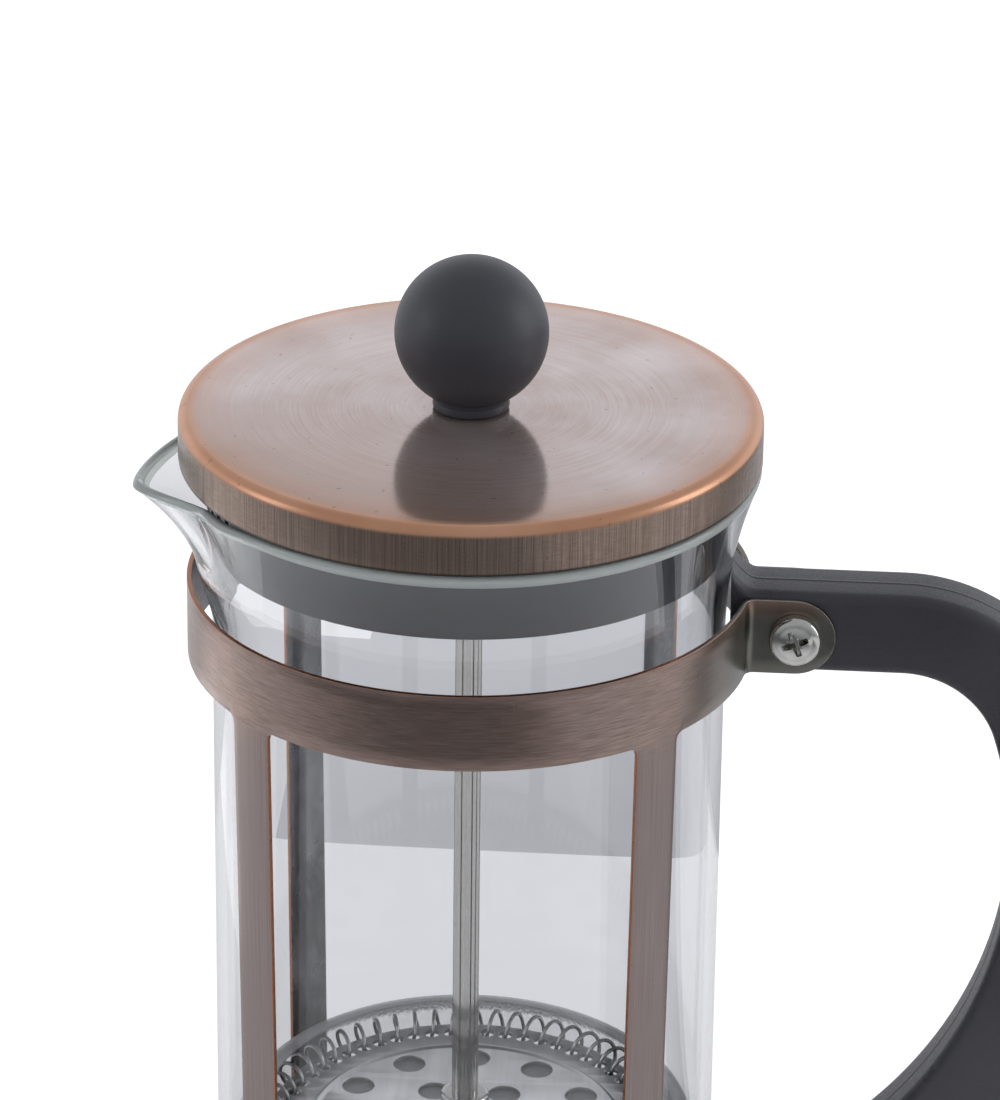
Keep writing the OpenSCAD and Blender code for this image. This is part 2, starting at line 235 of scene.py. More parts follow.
class Nodes:
    """A short way to write the nodes of a material or of the world."""

    def __init__(self, owner):
        owner.use_nodes = True
        self.owner = owner
        self.tree = owner.node_tree

    def feed(self, socket, source):
        """Gives a socket a number or a colour, or links another node's output to it."""
        if isinstance(source, (int, float, tuple)):
            socket.default_value = source
        else:
            self.tree.links.new(source, socket)

    def add(self, kind, **values):
        """A node with its settings and inputs; in an input's name _ stands for a space."""
        node = self.tree.nodes.new(kind)
        for key, value in values.items():
            if hasattr(node, key):
                setattr(node, key, value)
            else:
                self.feed(node.inputs[key.replace("_", " ")], value)
        return node

    def set(self, **values):
        """Inputs of the material's own shader."""
        shader = self.tree.nodes["Principled BSDF"]
        for key, value in values.items():
            self.feed(shader.inputs[key.replace("_", " ")], value)

    def math(self, operation, *values):
        node = self.add("ShaderNodeMath", operation=operation)
        for socket, value in zip(node.inputs, values):
            self.feed(socket, value)
        return node.outputs[0]

    def times(self, a, b):
        return self.math("MULTIPLY", a, b)

    def hypot(self, x, y):
        return self.math("SQRT", self.math("ADD", self.times(x, x), self.times(y, y)))

    def mix(self, factor, a, b):
        node = self.add("ShaderNodeMix", data_type="RGBA")
        for index, value in ((0, factor), (6, a), (7, b)):
            self.feed(node.inputs[index], value)
        return node.outputs[2]

    def ramp(self, source, *stops):
        """Grey levels given as (position, level)."""
        node = self.add("ShaderNodeValToRGB", Fac=source)
        elements = node.color_ramp.elements
        while len(elements) < len(stops):
            elements.new(0.5)
        for element, (at, level) in zip(elements, stops):
            element.position = at
            element.color = (level, level, level, 1)
        return node.outputs[0]

    def ranged(self, source, start, end, low=0.0, high=1.0):
        """Maps start to end onto low to high."""
        return self.add("ShaderNodeMapRange", Value=source, From_Min=start, From_Max=end,
                        To_Min=low, To_Max=high).outputs[0]

    def spread(self, source, low, high):
        """Maps the middle of a noise onto low to high."""
        return self.ranged(source, 0.25, 0.75, low, high)

    def noise(self, vector, scale, detail=2.0, roughness=0.5):
        return self.add("ShaderNodeTexNoise", Vector=vector, Scale=scale, Detail=detail,
                        Roughness=roughness).outputs["Fac"]

    def place(self):
        """The point in the object's own space, in metres."""
        return self.add("ShaderNodeTexCoord").outputs["Object"]

    def split(self, vector):
        return self.add("ShaderNodeSeparateXYZ", Vector=vector).outputs

    def stretched(self, parts, factors):
        """A vector of three parts, each stretched by its own factor."""
        x, y, z = (self.times(part, factor) for part, factor in zip(parts, factors))
        return self.add("ShaderNodeCombineXYZ", X=x, Y=y, Z=z).outputs[0]

    def polar(self, *factors):
        """Radius, angle and height as a vector, each stretched by its own factor."""
        x, y, z = self.split(self.place())
        return self.stretched((self.hypot(x, y), self.math("ARCTAN2", y, x), z), factors)

    def flag(self, name):
        """A value stored on the mesh's points."""
        return self.add("ShaderNodeAttribute", attribute_name=name).outputs["Fac"]

    def brushed_round(self, amount):
        """Gloss drawn out across a grain that runs round the Z axis."""
        tangent = self.add("ShaderNodeTangent", direction_type="RADIAL", axis="Z")
        self.set(Anisotropic=amount, Tangent=tangent.outputs[0])

    def bump(self, height, distance, strength):
        node = self.add("ShaderNodeBump", Height=height, Distance=distance, Strength=strength)
        self.set(Normal=node.outputs[0])


def new_material(name):
    return Nodes(bpy.data.materials.new(name))


def rgb(r, g, b):
    """A colour given as screen values from 0 to 255, as linear light."""
    return tuple((c / 255 / 12.92) if c <= 10 else ((c / 255 + 0.055) / 1.055) ** 2.4
                 for c in (r, g, b)) + (1,)


# -------- materials

def glass_material():
    n = new_material("clear_glass")
    n.set(Base_Color=(0.925, 0.932, 0.942, 1), Roughness=0.0, IOR=1.47, Transmission_Weight=1.0)
    return n.owner


def glass_lip_material():
    """The fire-polished lip, where light piped up the wall comes out pale green."""
    n = new_material("glass_lip")
    cloud = n.noise(n.place(), 240.0, 2.0, 0.5)
    tone = n.mix(cloud, (0.74, 0.81, 0.765, 1), (0.86, 0.90, 0.875, 1))
    n.set(Base_Color=tone, Roughness=0.1, IOR=1.47, Transmission_Weight=0.55)
    return n.owner


def lid_copper_material():
    """Antique copper: a grey-pink top finished by spinning, with light arcs painted on it as the
    glints of its brushing and painted shade towards its front-left, a rubbed bright edge, and a
    dark streaked skirt with a painted shadow of the gap along its bottom edge.
    """
    n = new_material("antique_copper_lid")
    x, y, z = n.split(n.place())
    up = n.split(n.add("ShaderNodeNewGeometry").outputs["Normal"])[2]
    rings = n.noise(n.polar(5200, 1.1, 0), 1.0, 3.0, 0.6)
    arcs = n.noise(n.polar(2300, 1.6, 0), 1.0, 3.0, 0.6)
    streaks = n.noise(n.polar(0, 210, 40), 1.0, 4.0, 0.68)
    cross = n.noise(n.polar(0, 22, 2600), 1.0, 2.0, 0.5)
    patches = n.noise(n.polar(0, 2.2, 20), 1.0, 1.0, 0.5)
    blotches = n.noise(n.place(), 60.0, 3.0, 0.55)
    specks = n.ramp(n.noise(n.place(), 700.0, 1.0, 0.4), (0.0, 1.0), (0.23, 1.0), (0.26, 0.0))
    reach = n.math("DIVIDE", n.hypot(x, y), LID_R)
    # Painted highlight: light arcs over the middle of the top's radius stand in for glints off the
    # brushing lines.
    glint_zone = n.ramp(reach, (0.0, 0.3), (0.30, 0.8), (0.62, 1.0), (0.85, 0.35))
    top_tone = n.mix(n.spread(blotches, 0.0, 1.0), rgb(186, 166, 157), rgb(226, 218, 218))
    painted_glint_tone = n.mix(n.spread(arcs, 0.0, 1.0), rgb(176, 146, 128), rgb(228, 220, 218))
    top_tone = n.mix(n.times(glint_zone, 0.4), top_tone, painted_glint_tone)
    top_tone = n.mix(n.spread(rings, 0.0, 0.35), top_tone, rgb(174, 152, 140))
    # Painted shade: the top is made darker and browner towards its front-left.
    front = n.ranged(n.math("MULTIPLY_ADD", x, 0.5, y), -0.25 * LID_R, -0.95 * LID_R)
    painted_front_shade = n.times(front, n.spread(blotches, 0.35, 0.75))
    top_tone = n.mix(painted_front_shade, top_tone, rgb(158, 126, 108))
    rubbed = n.times(n.ramp(reach, (0.0, 0.0), (0.78, 0.0), (0.965, 0.6)),
                     n.spread(patches, 0.5, 1.0))
    top_tone = n.mix(rubbed, top_tone, rgb(196, 150, 122))
    skirt_tone = n.mix(n.spread(streaks, 0.0, 1.0), rgb(62, 55, 50), rgb(194, 175, 162))
    skirt_tone = n.mix(n.spread(cross, 0.0, 0.5), skirt_tone, rgb(112, 96, 87))
    skirt_tone = n.mix(n.spread(patches, 0.0, 0.5), skirt_tone, rgb(134, 109, 92))
    edge_tone = n.mix(n.spread(blotches, 0.0, 1.0), rgb(194, 142, 110), rgb(212, 162, 130))
    on_edge = n.ramp(up, (0.0, 0.0), (0.03, 0.0), (0.35, 1.0))
    on_top = n.times(n.ramp(reach, (0.0, 1.0), (0.93, 1.0), (0.972, 0.0)), on_edge)
    # Painted shadow: the lowest part of the skirt goes almost black, as if shaded by the gap above
    # the glass.
    painted_gap_shadow = n.ranged(z, LID_SKIRT_Z + 0.7 * MM, LID_SKIRT_Z + 0.3 * MM)
    skirt_tone = n.mix(painted_gap_shadow, skirt_tone, rgb(44, 36, 32))
    tone = n.mix(on_edge, skirt_tone, edge_tone)
    tone = n.mix(on_top, tone, top_tone)
    tone = n.mix(n.times(specks, 0.35), tone, rgb(88, 62, 50))
    polish = n.mix(on_top, (0.3, 0.3, 0.3, 1), n.spread(arcs, 0.09, 0.13))
    dullness = n.mix(on_edge, n.spread(cross, 0.26, 0.4), polish)
    n.set(Base_Color=tone, Roughness=dullness, Metallic=0.68, IOR=1.5)
    n.brushed_round(0.15)
    relief = n.math("ADD", n.times(rings, on_edge),
                    n.times(streaks, n.math("SUBTRACT", 1.0, on_edge)))
    n.bump(relief, 0.02 * MM, 0.25)
    return n.owner


def strip_copper_material():
    """Antique copper strip, brushed round the bands and along the legs, greyer on the ears."""
    n = new_material("antique_copper_strip")
    on_leg = n.flag("on_leg")
    around = n.noise(n.polar(0, 9, 3600), 1.0, 4.0, 0.62)
    along = n.noise(n.polar(0, 340, 30), 1.0, 4.0, 0.6)
    brush = n.mix(on_leg, around, along)
    blotches = n.noise(n.place(), 70.0, 3.0, 0.6)
    patches = n.noise(n.polar(0, 2.6, 40), 1.0, 2.0, 0.5)
    tone = n.mix(n.spread(brush, 0.0, 1.0), rgb(104, 94, 90), rgb(180, 158, 149))
    tone = n.mix(n.spread(patches, 0.0, 0.45), tone, rgb(158, 129, 115))
    tone = n.mix(n.spread(blotches, 0.0, 0.35), tone, rgb(126, 115, 111))
    leg_tone = n.mix(n.spread(along, 0.0, 1.0), rgb(122, 113, 111), rgb(148, 137, 134))
    tone = n.mix(n.times(on_leg, 0.8), tone, leg_tone)
    ear_tone = n.mix(n.spread(blotches, 0.0, 1.0), rgb(100, 100, 94), rgb(128, 127, 120))
    near_top = n.ranged(n.split(n.place())[2], BAND_TOP - 4 * MM, BAND_TOP)
    warm = n.times(near_top, n.spread(blotches, 0.3, 1.0))
    ear_tone = n.mix(warm, ear_tone, rgb(162, 128, 110))
    tone = n.mix(n.flag("on_ear"), tone, ear_tone)
    n.set(Base_Color=tone, Roughness=n.spread(blotches, 0.24, 0.34), Metallic=0.9)
    n.brushed_round(0.4)
    n.bump(brush, 0.015 * MM, 0.35)
    return n.owner


def edge_material(name, dark, light, ear_colour):
    """Cut or rubbed edge of the strip; the last colour is its colour on the ears."""
    n = new_material(name)
    grain = n.noise(n.place(), 700.0, 2.0, 0.6)
    tone = n.mix(n.flag("on_ear"), n.mix(grain, dark, light), ear_colour)
    n.set(Base_Color=tone, Roughness=n.spread(grain, 0.25, 0.4), Metallic=1.0)
    return n.owner


def steel_material(name, dark, light, low, high, scale=250.0, stretch=(1, 1, 1), bump=0.2,
                   cloudy=0.3):
    """Stainless or plated steel, with a fine grain stretched along an axis."""
    n = new_material(name)
    grain = n.noise(n.stretched(n.split(n.place()), stretch), scale, 3.0, 0.6)
    cloud = n.noise(n.place(), 90.0, 3.0, 0.6)
    tone = n.mix(n.spread(grain, 0.0, 1.0), dark, light)
    tone = n.mix(n.spread(cloud, 0.0, cloudy), tone, dark)
    n.set(Base_Color=tone, Roughness=n.spread(cloud, low, high), Metallic=1.0)
    n.bump(grain, 0.01 * MM, bump)
    return n.owner


def plastic_material(name, dark, light, low, high, grain_scale, grain_depth, coat=0.0):
    """Moulded plastic with a fine eroded texture."""
    n = new_material(name)
    grain = n.noise(n.place(), grain_scale, 3.0, 0.65)
    cloud = n.noise(n.place(), 45.0, 2.0, 0.5)
    n.set(Base_Color=n.mix(n.spread(cloud, 0.0, 1.0), dark, light),
          Roughness=n.spread(grain, low, high), Coat_Weight=coat, Coat_Roughness=0.25, IOR=1.5)
    n.bump(grain, grain_depth, 0.5)
    return n.owner


def mesh_material():
    """Fine woven wire: two sets of crossing ridges, one layer of it below the spring."""
    n = new_material("woven_mesh")
    x, y, z = n.split(n.place())
    pitch = TAU / (0.45 * MM)
    warp_wires = n.math("SINE", n.times(x, pitch))
    weft_wires = n.math("SINE", n.times(y, pitch))
    weave = n.math("MAXIMUM", n.math("ABSOLUTE", warp_wires), n.math("ABSOLUTE", weft_wires))
    cloud = n.noise(n.place(), 160.0, 3.0, 0.6)
    tone = n.mix(n.spread(cloud, 0.0, 1.0), rgb(214, 214, 216), rgb(240, 240, 240))
    tone = n.mix(n.math("POWER", weave, 6.0), rgb(172, 172, 174), tone)
    low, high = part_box("spiral_plate")
    outer = n.ranged(n.hypot(x, y), high.x - 4 * MM, high.x - 1 * MM)
    below = n.ranged(z, high.z + 0.7 * MM, high.z - 0.1 * MM)
    single = n.times(n.times(outer, below), 0.7)
    alpha = n.ramp(weave, (0.0, 0.16), (0.6, 0.22), (0.97, 0.8))
    alpha = n.times(alpha, n.math("SUBTRACT", 1.0, single))
    n.set(Base_Color=tone, Alpha=alpha, Roughness=n.spread(cloud, 0.35, 0.5), Metallic=0.2)
    n.bump(weave, 0.08 * MM, 0.7)
    return n.owner


GLASS = glass_material()
GLASS_LIP = glass_lip_material()
LID_COPPER = lid_copper_material()
STRIP_COPPER = strip_copper_material()
CUT_EDGE = edge_material("cut_strip_edge", rgb(142, 98, 76), rgb(178, 126, 98),
                         rgb(112, 108, 100))
# Rounded strip edges: rubbed bright copper with a painted highlight on it, and on the ears a
# near-white painted highlight.
RUBBED_EDGE_AND_HIGHLIGHT = edge_material("rubbed_copper_edge_and_highlight", rgb(222, 138, 98), rgb(246, 178, 138),
                            rgb(240, 236, 228))
STRIP_INSIDE = steel_material("bare_strip_steel", rgb(88, 88, 89), rgb(172, 172, 174), 0.2, 0.42,
                              scale=170.0, stretch=(1, 1, 0.5), cloudy=0.7)
ROD_STEEL = steel_material("rod_steel", rgb(170, 168, 165), rgb(202, 200, 196), 0.08, 0.13,
                           scale=2600.0, stretch=(1, 1, 0.002), bump=0.1)
SCREW_STEEL = steel_material("bright_zinc", rgb(186, 186, 182), rgb(216, 216, 212), 0.08, 0.2,
                             scale=500.0)
PLATE_STEEL = steel_material("stamped_steel", rgb(206, 206, 205), rgb(232, 232, 231), 0.3, 0.44,
                             scale=400.0, stretch=(1, 0.06, 1))
WIRE_STEEL = steel_material("spring_wire", rgb(176, 176, 176), rgb(212, 212, 212), 0.16, 0.26,
                            scale=900.0)
BRASS = steel_material("turned_brass", rgb(176, 140, 78), rgb(212, 178, 112), 0.2, 0.35,
                       scale=700.0)
MESH_STEEL = mesh_material()
HANDLE_BLACK = plastic_material("handle_black", rgb(52, 52, 56), rgb(64, 64, 69), 0.3, 0.52,
                                1900.0, 0.0002)
KNOB_BLACK = plastic_material("knob_black", rgb(57, 58, 63), rgb(64, 65, 71), 0.38, 0.54,
                              2600.0, 0.00005)
INSERT_GREY = plastic_material("insert_grey", rgb(42, 42, 48), rgb(50, 50, 56), 0.32, 0.46,
                               1800.0, 0.00002)
SEAT_RUBBER = plastic_material("seat_rubber", rgb(52, 52, 52), rgb(62, 62, 62), 0.6, 0.8,
                               1500.0, 0.00004)
PAD_RUBBER = plastic_material("pad_rubber", rgb(28, 28, 28), rgb(38, 38, 38), 0.6, 0.85,
                              1200.0, 0.00005)


# -------- beaker

FLARE_H = 30.9 * MM
FLARE_Z = GLASS_TOP - FLARE_H
FLARE_R = (FLARE_H ** 2 + (RIM_R - GLASS_R) ** 2) / (2 * (RIM_R - GLASS_R))


def glass_r(z):
    """Outer radius of the glass wall at height z."""
    if z < FLARE_Z:
        return GLASS_R
    return GLASS_R + FLARE_R - math.sqrt(FLARE_R ** 2 - (z - FLARE_Z) ** 2)


def spout_warp(grid, angle):
    """Draws the rim out into a pouring spout, with a slight dip beside its lip."""
    turn = np.degrees((angle - SPOUT_ANGLE + math.pi) % TAU - math.pi)
    across = np.abs(turn) * np.where(turn < 0, 0.68, 1.0)
    r = np.hypot(grid[..., 0], grid[..., 1])
    z = grid[..., 2]
    rim_z = GLASS_TOP - LIP_R
    throat_z = FLARE_Z + 14 * MM
    throat = np.clip((z - FLARE_Z) / (throat_z - FLARE_Z), 0, 1)
    throat = throat * throat * (3 - 2 * throat)
    up = np.clip((z - throat_z) / (rim_z - throat_z), 0, 1)
    q = (np.sqrt(across ** 2 + 4) - 2) / (13.5 + 9 * (1 - up))
    tent = 0.5 * ((1 - q) + np.sqrt((1 - q) ** 2 + 0.015))
    channel = 2.0 * MM * throat * (1 - 0.5 * up)
    reach = SPOUT_REACH - RIM_R - 0.7 * MM
    wall = r > GLASS_R - GLASS_T - 1 * MM
    add = np.where(wall, (channel + reach * up ** 1.6) * tent, 0)
    scale = (r + add) / np.maximum(r, 1e-6)
    dip = 1.2 * MM * np.exp(-((turn - 20) / 9) ** 2) * up ** 3
    sink = np.where(wall, dip + 0.6 * MM * tent ** 1.5 * up ** 5, 0)
    return np.stack([grid[..., 0] * scale, grid[..., 1] * scale, z - sink], -1)


GLASS_STEPS = 288
LIP_R = GLASS_T / 2 + 0.08 * MM


def make_beaker():
    """The glass from the middle of its base, up over the lip and down inside."""
    heel = 7 * MM
    inner_heel = heel - GLASS_T
    floor_z = GLASS_BOTTOM + GLASS_FLOOR_T
    rise = [GLASS_BOTTOM + heel + (FLARE_Z - GLASS_BOTTOM - heel) * i / 12 for i in range(1, 12)]
    flare = [FLARE_Z + (FLARE_H - LIP_R) * i / 36 for i in range(37)]
    outline = [(0, GLASS_BOTTOM)]
    outline += [((GLASS_R - heel) * k, GLASS_BOTTOM) for k in (0.4, 0.8, 0.97)]
    outline += arc(GLASS_R - heel, GLASS_BOTTOM + heel, heel, -90, 0, 12)
    outline += [(GLASS_R, z) for z in rise]
    outline += [(glass_r(z), z) for z in flare]
    lip_start = len(outline) - 2
    outer_end = glass_r(flare[-1])
    outline += arc(outer_end - GLASS_T / 2, flare[-1], GLASS_T / 2, 0, 180, 14)[1:-1]
    lip_end = len(outline) + 1
    outline += [(glass_r(z) - GLASS_T, z) for z in reversed(flare)]
    outline += [(GLASS_R - GLASS_T, z) for z in reversed(rise)]
    outline += arc(GLASS_R - GLASS_T - inner_heel, floor_z + inner_heel, inner_heel, 0, -90, 10)
    outline += [((GLASS_R - heel) * k, floor_z) for k in (0.97, 0.8, 0.4)]
    outline += [(0, floor_z)]
    obj = revolve("glass_beaker", outline, "beaker", GLASS, steps=GLASS_STEPS, closed=False,
                  sharp=180, warp=spout_warp)
    obj.data.materials.append(GLASS_LIP)
    for face in obj.data.polygons:
        row = 1 + (min(face.vertices) - 1) // GLASS_STEPS
        face.material_index = 1 if lip_start <= row < lip_end else 0
    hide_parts("beaker")


# -------- cage

def ear_path(r):
    """Plan of one ear and its bend: points on the outer face with their outward directions,
    and the angle in degrees from the X axis to where the bend meets the round band."""
    ear_y = HANDLE_W / 2 + STRIP_T
    bend = 1.6 * MM
    bend_y = ear_y + bend
    bend_x = math.sqrt((r + bend) ** 2 - bend_y ** 2)
    gap = math.degrees(math.asin(bend_y / (r + bend)))
    tip = SCREW_X + 6.9 * MM
    ear_steps = 25
    shares = [spoke(90 * i / ear_steps)[0] ** 0.8 for i in range(ear_steps + 1)]
    points = [(bend_x + (tip - bend_x) * share, -ear_y, 0.0, -1.0) for share in shares]
    for x, y in arc(bend_x, -bend_y, bend, 90, 180 - gap, 6)[1:]:
        normal = Vector((bend_x - x, -bend_y - y)).normalized()
        points.append((x, y, normal.x, normal.y))
    return points, gap


LEG_ANGLES = (45, 135, 225, 315)
LEG_STEPS = 8
CORNER_R = 1.6 * MM


def leg_columns(centre, half_width, r):
    """Angles of the points across a leg at radius r."""
    return [centre + math.degrees(half_width * (2 * k / LEG_STEPS - 1) / r)
            for k in range(LEG_STEPS + 1)]


def make_cage():
    """One strip blank: two bands with ears and four legs, then its thickness and edges."""
    verts, normals, faces, leg_flags, ear_flags = [], [], [], [], []
    ear_from = 0.74 * BAND_R

    def add(point, normal, leg):
        verts.append(point)
        normals.append(normal)
        leg_flags.append(leg)
        ear_flags.append(min(1.0, max(0.0, (point[0] - ear_from) / (12 * MM))))
        return len(verts) - 1

    def across(below, above):
        """Faces between two rows of a leg."""
        for k in range(LEG_STEPS):
            faces.append((below[k], below[k + 1], above[k + 1], above[k]))

    def band(r, z0, h, rows, leg_at_top):
        """Adds a band and gives the vertices on its edge at each leg."""
        side, gap = ear_path(r)
        angles = []
        at = -360 + gap
        feet = {c: leg_columns(c - 360, LEG_W / 2 + CORNER_R, r) for c in LEG_ANGLES}
        stops = sorted({round(a, 6) for foot in feet.values() for a in foot})
        step = 2.0
        while at < -gap - 1e-6:
            angles.append(at)
            ahead = [s for s in stops if s > at + 1e-6]
            nxt = at + step
            if ahead and ahead[0] < nxt + step * 0.4:
                nxt = ahead[0]
            at = nxt
        angles.append(-gap)
        ring = [(r * c, r * s, c, s) for c, s in map(spoke, angles)]
        first = [(x, -y, nx, -ny) for x, y, nx, ny in side]
        plan = first[:-1] + ring + side[::-1][1:]
        ring_start = len(first) - 1
        round_end = h / 2 - 0.02 * MM
        grid = []
        for x, y, nx, ny in plan:
            half = h / 2
            beyond = x - SCREW_X
            if beyond > 0:
                half = math.sqrt(max(round_end ** 2 - beyond ** 2, (0.35 * MM) ** 2))
            column = [add((x, y, z0 + h / 2 + half * (2 * k / rows - 1)), (nx, ny, 0), 0.0)
                      for k in range(rows + 1)]
            grid.append(column)
        for i in range(len(grid) - 1):
            for k in range(rows):
                faces.append((grid[i][k], grid[i + 1][k], grid[i + 1][k + 1], grid[i][k + 1]))

        def edge_vertex(angle):
            nearest = min(range(len(angles)), key=lambda j: abs(angles[j] - angle))
            return grid[ring_start + nearest][rows if leg_at_top else 0]

        return {centre: [edge_vertex(a) for a in feet[centre]] for centre in LEG_ANGLES}

    low = band(FOOT_R, FOOT_BAND_Z, FOOT_BAND_H, 4, True)
    band_z = BAND_TOP - BAND_H
    high = band(BAND_R, band_z, BAND_H, 5, False)
    leg_z = FOOT_BAND_Z + FOOT_BAND_H
    height = band_z - leg_z
    corner = [CORNER_R * (1 - spoke(a)[0]) for a in (12, 26, 42, 60, 90)]
    levels = corner + [height * t for t in (0.15, 0.3, 0.45, 0.6, 0.75, 0.88)]
    levels += [height - c for c in reversed(corner)]
    for centre in LEG_ANGLES:
        previous = low[centre]
        for dz in levels:
            r = FOOT_R + (BAND_R - FOOT_R) * dz / height
            near = min(dz, height - dz)
            wide = LEG_W / 2
            if near < CORNER_R:
                wide += CORNER_R - math.sqrt(CORNER_R ** 2 - (CORNER_R - near) ** 2)
            fade = min(1.0, near / (2.5 * MM))
            row = [add((r * c, r * s, leg_z + dz), (c, s, 0), fade)
                   for c, s in map(spoke, leg_columns(centre, wide, r))]
            across(previous, row)
            previous = row
        across(previous, high[centre])

    outer = np.array(verts)
    inner = outer - np.array(normals) * STRIP_T
    count = len(verts)
    edges = {}
    for f in faces:
        for a, b in zip(f, f[1:] + f[:1]):
            edges[(a, b)] = edges.get((a, b), 0) + 1
    rims = [(a, b) for a, b in edges if (b, a) not in edges]
    all_faces = faces + [tuple(count + v for v in reversed(f)) for f in faces]
    all_faces += [(b, a, count + a, count + b) for a, b in rims]
    slots = [0] * len(faces) + [2] * len(faces) + [1] * len(rims)
    obj = new_mesh("strip_cage", np.concatenate([outer, inner]), all_faces, "frame", STRIP_COPPER,
                   face_slots=slots, more=(CUT_EDGE, STRIP_INSIDE, RUBBED_EDGE_AND_HIGHLIGHT))
    for name, values in (("on_leg", leg_flags), ("on_ear", ear_flags)):
        flag = obj.data.attributes.new(name, "FLOAT", "POINT")
        flag.data.foreach_set("value", np.array(values * 2, np.float32))
    # The new rounded faces take slot 3, the rubbed copper with its painted highlight.
    bevel(obj, 0.2 * MM, angle=50, material=3)
    sharpen(obj, 50)
    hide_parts("cage")


# -------- base

def make_dish():
    r = FOOT_R - STRIP_T
    z = bottom("base_dish")
    t = 0.8 * MM
    lip = top("base_dish")
    out, wall = r - 0.05 * MM, r - t
    outline = rounded([(0, z), (out, z), (out, lip), (wall, lip), (wall, z + t), (0, z + t)],
                      [0, 2.4 * MM, 0.3 * MM, 0.3 * MM, 1.7 * MM, 0])
    obj = revolve("beaker_dish", outline, "frame", STRIP_INSIDE, steps=160, closed=False)
    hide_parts("base_dish")


def make_seat():
    z0, z1 = bottom("seat_ring"), top("seat_ring")
    r1 = radius("seat_ring")
    r0 = r1 - 8 * MM
    c = 0.8 * MM
    outline = rounded([(r0, z0), (r1, z0), (r1, z1), (r0, z1)], [0.3 * MM, 0.3 * MM, c, c])
    obj = revolve("beaker_seat", outline, "frame", SEAT_RUBBER, steps=128)
    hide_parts("seat_ring")


def make_pad():
    """The pad, with eleven shallow grooves round its underside."""
    r = radius("foot_pad")
    z = top("foot_pad")
    outline = [(0, 0)]
    for i in range(1, 12):
        at = r * i / 13
        outline += [(at - 0.5 * MM, 0), (at - 0.25 * MM, 0.35 * MM), (at + 0.25 * MM, 0.35 * MM),
                    (at + 0.5 * MM, 0)]
    outline += rounded([(r - 2.4 * MM, 0), (r, 0), (r, z), (0, z)], [0, 0.6 * MM, 0.3 * MM, 0])[:-1]
    outline += [(0, z)]
    obj = revolve("non_slip_pad", outline, "frame", PAD_RUBBER, steps=128, closed=False)
    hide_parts("foot_pad")


# -------- handle

def handle_line():
    """Middle line of the loop in the X-Z plane with its inward-to-outward direction."""
    arm_z, bend_x, bend_r, bow_r, tail_r = 132 * MM, 76 * MM, 25 * MM, 86.5 * MM, 20 * MM
    bow_a, tail_a = 18, 60
    bend_z = arm_z - bend_r
    c, s = spoke(bow_a)
    bow_x, bow_z = bend_x - (bow_r - bend_r) * c, bend_z - (bow_r - bend_r) * s
    c, s = spoke(tail_a)
    tail_x, tail_z = bow_x + (bow_r - tail_r) * c, bow_z - (bow_r - tail_r) * s
    root_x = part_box("handle")[0].x + 0.05 * MM
    line = [(root_x + x * MM, arm_z, 0.0, 1.0)
            for x in (0.0, 0.5, 0.9, 1.4, 2.0, 2.7, 3.5, 4.4, 6, 9, 13, 18, 23, 27.5)]
    for x, z, r, angles in ((bend_x, bend_z, bend_r, np.linspace(90, bow_a, 26)),
                            (bow_x, bow_z, bow_r, np.linspace(bow_a, -tail_a, 60)[1:]),
                            (tail_x, tail_z, tail_r, np.linspace(-tail_a, -90, 12)[1:])):
        line += [(x + r * c, z + r * s, c, s) for c, s in map(spoke, angles)]
    end_x = FOOT_R - STRIP_T + 0.45 * MM
    for x in (0.6, 0.25, 0.0):
        line.append((end_x + x * (line[-1][0] - end_x), tail_z - tail_r, 0.0, -1.0))
    return line


def handle_section(h_out, h_in, corner=1.9 * MM):
    """Outline across the handle: side points from -Y to +Y, with a raised mould line in the
    middle of the outer and inner faces."""
    w = HANDLE_W / 2 - 0.02 * MM
    seam = 0.16 * MM
    half_seam = 0.22 * MM
    out = []
    out += arc(-w + corner, -h_in + corner, corner, 180, 270, 5)
    out += [(-half_seam * 3, -h_in), (-half_seam, -h_in), (0, -h_in - seam * 0.6),
            (half_seam, -h_in), (half_seam * 3, -h_in)]
    out += arc(w - corner, -h_in + corner, corner, 270, 360, 5)
    out += arc(w - corner, h_out - corner, corner, 0, 90, 5)
    out += [(half_seam * 3, h_out), (half_seam, h_out), (0, h_out + seam), (-half_seam, h_out),
            (-half_seam * 3, h_out)]
    out += arc(-w + corner, h_out - corner, corner, 90, 180, 5)
    return out


def make_handle():
    """The loop, swept along its line; its upper arm flares up where it meets the cage."""
    half = 7.7 * MM
    flare = 4.4 * MM
    line = handle_line()
    root_x, arm_z = line[0][:2]
    rows = []
    for x, z, nx, nz in line:
        h_out = half - 0.2 * MM
        if z > arm_z - 1 * MM and x - root_x < flare:
            h_out += 3.6 * MM * (1 - (x - root_x) / flare) ** 1.7
        rows.append([(x + nx * up, side, z + nz * up)
                     for side, up in handle_section(h_out, half - 0.15 * MM)])
    n = len(rows[0])
    faces = ring_faces(len(rows), n)
    faces += [tuple(range(n)), tuple((len(rows) - 1) * n + j for j in range(n))]
    obj = new_mesh("loop_handle", sum(rows, []), faces, "frame", HANDLE_BLACK)
    outward(obj.data)
    bevel(obj, 0.4 * MM, angle=60)
    sharpen(obj, 50)
    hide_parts("handle")


# -------- clamp screws and nuts

def cut(obj, cutter):
    """Takes the cutter's volume out of obj and removes the cutter."""
    mod = obj.modifiers.new("cut", "BOOLEAN")
    mod.operation = "DIFFERENCE"
    mod.solver = "EXACT"
    mod.object = cutter
    apply_modifiers(obj)
    mesh = cutter.data
    bpy.data.objects.remove(cutter)
    bpy.data.meshes.remove(mesh)


